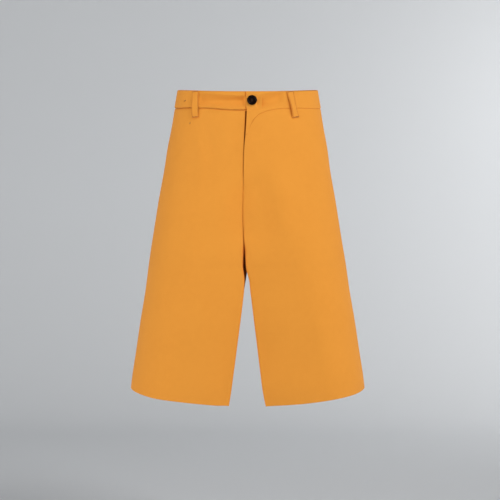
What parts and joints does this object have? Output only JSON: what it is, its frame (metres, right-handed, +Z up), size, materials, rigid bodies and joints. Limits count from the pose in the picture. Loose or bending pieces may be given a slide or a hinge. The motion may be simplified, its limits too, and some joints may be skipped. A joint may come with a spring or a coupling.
{
  "type": "bermuda shorts",
  "caption": "Wide high-waisted bermuda shorts in filled-out form, with a waistband that ends in a curved tab over a concealed zip fly, a waist button and belt loops.",
  "frame": {"origin": "middle of the waist opening, level with the middle of the waistband at the side seams", "axes": "+X to the wearer's left, -Y towards the front, +Z up"},
  "size_m": [0.4476, 0.2559, 0.6046],
  "materials": {
    "twill": "matt cotton twill, bright orange",
    "button_resin": "polished near-black resin",
    "zip_tape": "woven tape dyed to match, closed coil chain"
  },
  "bodies": {
    "root": {"back_left": "twill", "back_right": "twill", "belt_loop_back_left": "twill", "belt_loop_back_right": "twill", "belt_loop_centre_back": "twill", "belt_loop_front_left": "twill", "belt_loop_front_right": "twill", "button": "button_resin", "fly_shield": "twill", "front_left": "twill", "front_right": "twill", "waistband_left": "twill", "waistband_right": "twill", "zip": "zip_tape"}
  },
  "joints": []
}
